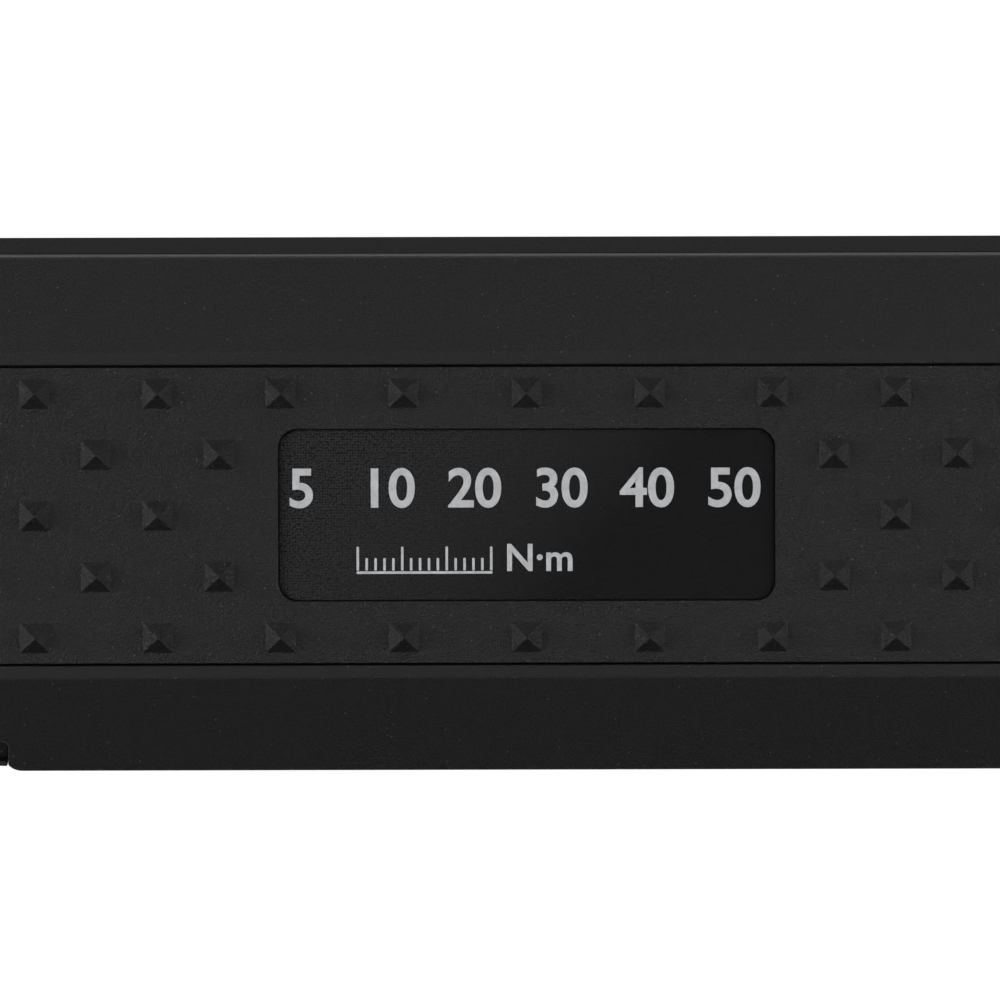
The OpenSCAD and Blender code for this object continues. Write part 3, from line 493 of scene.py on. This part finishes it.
class Marks:
    """Flat shapes of one height, gathered into one thin closed piece. Lengths are in millimetres."""

    def __init__(self, name, origin, height=INK_HEIGHT):
        self.name = name
        self.origin = Vector(origin)
        self.height = height
        self.mesh = bmesh.new()

    def outline(self, points):
        """Adds a flat prism with this outline, given counter-clockwise."""
        low = [self.mesh.verts.new((x * MM, y * MM, 0)) for x, y in points]
        high = [self.mesh.verts.new((x * MM, y * MM, self.height * MM)) for x, y in points]
        self.mesh.faces.new(list(reversed(low)))
        self.mesh.faces.new(high)
        for i in range(len(points)):
            j = (i + 1) % len(points)
            self.mesh.faces.new((low[i], low[j], high[j], high[i]))

    def bar(self, x, y, width, length, round_r=0.0):
        """Adds an upright bar centred on (x, y), with its corners cut by round_r."""
        w, h, r = width / 2, length / 2, min(round_r, width / 2 * 0.98, length / 2 * 0.98)
        corners = [(w, -h, 270), (w, h, 0), (-w, h, 90), (-w, -h, 180)]
        if not r:
            self.outline([(x + cx, y + cy) for cx, cy, _ in corners])
            return
        points = []
        for cx, cy, start in corners:
            mx, my = x + cx - math.copysign(r, cx), y + cy - math.copysign(r, cy)
            for step in range(5):
                a = math.radians(start + step * 22.5)
                points.append((mx + r * math.cos(a), my + r * math.sin(a)))
        self.outline(points)

    def arc(self, x, y, radius, width, start, end, steps=24):
        """Adds a curved bar from start to end degrees, as one outline."""
        outer, inner = [], []
        for step in range(steps + 1):
            a = math.radians(start + (end - start) * step / steps)
            outer.append((x + (radius + width / 2) * math.cos(a), y + (radius + width / 2) * math.sin(a)))
            inner.append((x + (radius - width / 2) * math.cos(a), y + (radius - width / 2) * math.sin(a)))
        if end < start:
            outer.reverse()
            inner.reverse()
        self.outline(outer + list(reversed(inner)))

    def arrow_head(self, x, y, angle, size):
        """Adds a triangle at (x, y) that points towards angle degrees."""
        a = math.radians(angle)
        along, side = Vector((math.cos(a), math.sin(a))), Vector((-math.sin(a), math.cos(a)))
        at = Vector((x, y))
        corners = (at + along * size, at + side * size * 0.62, at - side * size * 0.62)
        self.outline([tuple(corner) for corner in corners])

    def done(self, body, look):
        data = bpy.data.meshes.new(self.name)
        self.mesh.to_mesh(data)
        self.mesh.free()
        piece = bpy.data.objects.new(self.name, data)
        bpy.context.scene.collection.objects.link(piece)
        piece.location = self.origin
        data.materials.append(look.material)
        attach(piece, body)
        return piece


def lettered(name, text, centre, cap, body, look, spacing=1.0, bold=0.05, bevel=0.01):
    """Plain numerals or a unit, with digits cap millimetres tall and centred on a point."""
    data = bpy.data.curves.new(name, "FONT")
    data.body = "0"
    piece = bpy.data.objects.new(name, data)
    bpy.context.scene.collection.objects.link(piece)
    bpy.context.view_layer.update()
    data.size = cap * MM / piece.dimensions.y
    data.body = text
    data.space_character = spacing
    data.align_x = "CENTER"
    data.align_y = "CENTER"
    data.extrude = (INK_HEIGHT / 2 - bevel) * MM
    data.bevel_depth = bevel * MM
    data.offset = bold * MM
    data.resolution_u = 6
    data.materials.append(look.material)
    piece.location = Vector(centre) + Vector((0, 0, INK_HEIGHT * MM / 2))
    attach(piece, body)
    return piece


def label_marks():
    """Numerals and a ruler along the label: a plain scale in newton metres."""
    top = Vector((label_mid.x, label_mid.y, label_high.z))
    numerals = (5, 10, 20, 30, 40, 50)
    pitch, first = 6.8, -17.7
    for place, value in enumerate(numerals):
        at = top + Vector(((first + place * pitch) * MM, 1.95 * MM, 0))
        lettered(f"label_numeral_{value}", str(value), at, 3.0, "wrench", INK, bold=0.08)
    ruler = Marks("label_ruler", top)
    left, step, count, line, line_r = -13.3, 0.7, 16, 0.2, 0.08
    foot = -4.4
    for tick in range(count):
        tall = 1.9 if tick % 5 == 0 else 1.0
        ruler.bar(left + tick * step, foot + tall / 2, line, tall, line_r)
    reach = step * (count - 1)
    ruler.bar(left + reach / 2, foot - 0.15, reach + line, line, line_r)
    ruler.done("wrench", INK)
    unit_at = top + Vector((1.0 * MM, -3.5 * MM, 0))
    lettered("label_unit", "N·m", unit_at, 2.1, "wrench", INK)


SEGMENTS_OF = {
    "0": "abcdef", "1": "bc", "2": "abdeg", "3": "abcdg", "4": "bcfg", "5": "acdfg",
    "6": "acdefg", "7": "abc", "8": "abcdefg", "9": "abcdfg",
}


def display_digit(marks, digit, x, y, height):
    """Adds one seven-segment digit whose lower left corner is at (x, y)."""
    width, bar = height * 0.52, height * 0.105
    half = height / 2
    slant = 0.09

    def lean(px, py):
        return x + px + slant * py, y + py

    def across(py):
        inset, b = bar * 0.62, bar / 2
        points = [(inset, py), (inset + b, py - b), (width - inset - b, py - b),
                  (width - inset, py), (width - inset - b, py + b), (inset + b, py + b)]
        marks.outline([lean(*p) for p in points])

    def upright(px, low, high):
        inset, b = bar * 0.62, bar / 2
        points = [(px, low + inset), (px + b, low + inset + b), (px + b, high - inset - b),
                  (px, high - inset), (px - b, high - inset - b), (px - b, low + inset + b)]
        marks.outline([lean(*p) for p in points])

    shapes = {
        "a": lambda: across(height), "g": lambda: across(half), "d": lambda: across(0),
        "b": lambda: upright(width, half, height), "c": lambda: upright(width, 0, half),
        "f": lambda: upright(0, half, height), "e": lambda: upright(0, 0, half),
    }
    for segment in SEGMENTS_OF[digit]:
        shapes[segment]()


def display_marks():
    """What the display shows: a reading, its unit, a bar for the load and a battery symbol."""
    mid = (display_low + display_high) / 2
    marks = Marks("display_reading", (mid.x, mid.y, display_high.z), 0.02)
    height = 8.6
    for place, digit in enumerate("25"):
        display_digit(marks, digit, -15.5 + place * 7.2, -2.6, height)
    marks.bar(-1.7, -2.3, 1.0, 1.0, 0.3)
    display_digit(marks, "0", 0.1, -2.6, height)
    for step in range(15):
        if step < 8:
            marks.bar(-15.6 + step * 2.2, -5.9, 1.5, 1.5, 0.1)
        else:
            marks.bar(-15.6 + step * 2.2, -6.5, 1.5, 0.3, 0.05)
    marks.bar(11.6, 6.6, 0.3, 2.2)
    marks.bar(16.0, 6.6, 0.3, 2.2)
    marks.bar(13.8, 7.6, 4.1, 0.25)
    marks.bar(13.8, 5.6, 4.1, 0.25)
    marks.bar(16.5, 6.6, 0.45, 0.9)
    for cell in range(3):
        marks.bar(12.5 + cell * 1.2, 6.6, 0.85, 1.3)
    marks.done("wrench", SEGMENTS)
    lettered("display_unit", "N·m", (mid.x + 11.6 * MM, mid.y - 1.2 * MM, display_high.z), 2.6,
             "wrench", SEGMENTS)


def key_marks():
    """Plain symbols on the keys: up, down, a ring to switch on, and two dots for what is shown."""
    def top_of(node):
        low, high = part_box(node)
        return ((low.x + high.x) / 2, (low.y + high.y) / 2, high.z)

    up = Marks("up_mark", top_of("up_button"))
    up.arrow_head(-0.9, 0, 0, 1.9)
    up.done("up_key", INK)
    down = Marks("down_mark", top_of("down_button"))
    down.arrow_head(0.9, 0, 180, 1.9)
    down.done("down_key", INK)
    unit = Marks("unit_mark", top_of("unit_button"))
    unit.arc(0, 0, 1.1, 0.3, 0, 170)
    unit.arc(0, 0, 1.1, 0.3, 190, 350)
    unit.done("unit_key", INK)
    mode = Marks("mode_mark", top_of("mode_button"))
    for row in (-1, 0, 1):
        mode.bar(0, row * 1.1, 3.4, 0.4, 0.15)
    mode.done("mode_key", INK)
    power = Marks("power_mark", top_of("power_button"))
    power.arc(0, 0, 1.45, 0.38, 125, 415)
    power.bar(0, 1.1, 0.38, 1.6, 0.15)
    power.done("power_key", INK)


def head_marks():
    """Engraved arrows on the head's cover, one for each way the ratchet can drive."""
    marks = Marks("direction_arrows", (0, 0, cover_z))
    radius, width = 10.6, 0.55
    for side in (1, -1):
        marks.arc(0, 0, radius, width, side * 88, side * 148)
        tip = math.radians(side * 148)
        marks.arrow_head(radius * math.cos(tip), radius * math.sin(tip), side * (148 + 90), 1.5)
    marks.done("wrench", SEGMENTS)


# ---------------------------------------------------------------- stage, lights and camera

# Softboxes: place from the label in metres, width and height in metres, power in watts
SOFTBOXES = {
    "overhead": ((-0.04, -0.05, 0.75), (0.34, 0.22), 0.9),
    "far_side": ((0.0, 0.60, 0.30), (0.60, 0.25), 0.45),
    "left": ((-0.36, 0.03, 0.15), (0.16, 0.20), 0.78),
    "right": ((0.24, 0.03, 0.10), (0.10, 0.16), 0.27),
    "far_low": ((0.0, 0.60, -0.30), (1.2, 0.25), 0.9),
    "near_low": ((0.0, -0.60, -0.30), (1.2, 0.25), 2.0),
    "bounce": ((0.0, 0.0, -0.70), (1.1, 0.80), 0.25),
}
STUDIO_GLOW = 0.012


def softboxes():
    aim = Vector((label_mid.x, 0, flat_z))
    for name, (offset, size, watts) in SOFTBOXES.items():
        data = bpy.data.lights.new(name, "AREA")
        data.shape = "RECTANGLE"
        data.size, data.size_y = size
        data.energy = watts
        lamp = bpy.data.objects.new(name, data)
        lamp.location = aim + Vector(offset)
        lamp.rotation_euler = (-Vector(offset)).to_track_quat("-Z", "Y").to_euler()
        lamp.visible_camera = False
        bpy.context.scene.collection.objects.link(lamp)


def stage():
    """A plain white floor that neither tints nor shades the object, and the studio round it."""
    look = Look("pale_floor", roughness=0.9, specular_ior_level=0.2)
    look.colour(look.blend(look.noise(60, 3), (0.60, 0.60, 0.60), (0.64, 0.64, 0.64)))
    look.shader.inputs["Emission Color"].default_value = (1, 1, 1, 1)
    look.shader.inputs["Emission Strength"].default_value = 0.9
    data = bpy.data.meshes.new("floor")
    reach = 4.0
    corners = [(-reach, -reach, 0), (reach, -reach, 0), (reach, reach, 0), (-reach, reach, 0)]
    data.from_pydata(corners, [], [(0, 1, 2, 3)])
    data.materials.append(look.material)
    floor = bpy.data.objects.new("floor", data)
    floor.location = (label_mid.x, 0, lowest_z)
    floor.visible_diffuse = False
    floor.visible_glossy = False
    floor.visible_shadow = False
    bpy.context.scene.collection.objects.link(floor)

    world = bpy.data.worlds.new("studio")
    world.use_nodes = True
    background = world.node_tree.nodes["Background"]
    background.inputs["Color"].default_value = (1, 1, 1, 1)
    background.inputs["Strength"].default_value = STUDIO_GLOW
    bpy.context.scene.world = world
    softboxes()


def camera():
    """Looks straight down at the label, leaning a little towards +Y, through a long lens."""
    view_width = 78.65 * MM
    lens, sensor = 1000.0, 36.0
    lean, roll = math.radians(4.6), math.radians(-0.14)
    target = Vector((label_mid.x - 2.1 * MM, label_mid.y + 1.18 * MM, flat_z))
    distance = view_width * lens / sensor
    data = bpy.data.cameras.new("camera")
    data.lens = lens
    data.sensor_width = sensor
    data.clip_start = 0.1
    data.clip_end = 20
    eye = bpy.data.objects.new("camera", data)
    back = Vector((0, math.sin(lean), math.cos(lean)))
    eye.location = target + back * distance
    eye.rotation_euler = (Matrix.Rotation(-lean, 3, "X") @ Matrix.Rotation(roll, 3, "Z")).to_euler()
    bpy.context.scene.collection.objects.link(eye)
    bpy.context.scene.camera = eye


camera()
stage()
dress_nodes()
squash_release_spring()
label_marks()
display_marks()
key_marks()
head_marks()
bpy.context.scene.view_settings.view_transform = "Standard"
